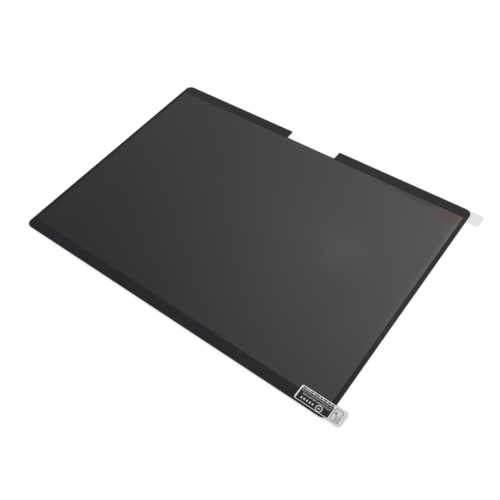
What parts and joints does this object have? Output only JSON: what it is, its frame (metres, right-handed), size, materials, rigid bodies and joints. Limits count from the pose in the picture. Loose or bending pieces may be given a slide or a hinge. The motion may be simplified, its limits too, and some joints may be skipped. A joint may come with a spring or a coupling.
{
  "type": "laptop privacy filter",
  "caption": "Thin dark louvre sheet with a black border and a camera notch, between clear liners with peel tabs; it narrows a laptop display's viewing angle.",
  "frame": {"origin": "middle of the sheet's outline, without the tabs, on the rear face that lies on the display or the desk", "axes": "+X to the right along the long side, towards the tabs; +Y to the edge with the camera notch; +Z out of the front"},
  "size_m": [0.302, 0.2082, 0.0009],
  "materials": {
    "rear_release_film": "clear polyester film, slightly hazy",
    "louvre_film": "satin, anti-glare",
    "black_border_film": "matte black",
    "front_protective_film": "clear, soft gloss",
    "peel_tab_film": "clear film with a printed face"
  },
  "bodies": {
    "root": {"rear_liner": "rear_release_film", "filter_sheet": "louvre_film", "border_frame": "black_border_film", "front_liner": "front_protective_film", "front_peel_tab": "peel_tab_film"}
  },
  "joints": []
}
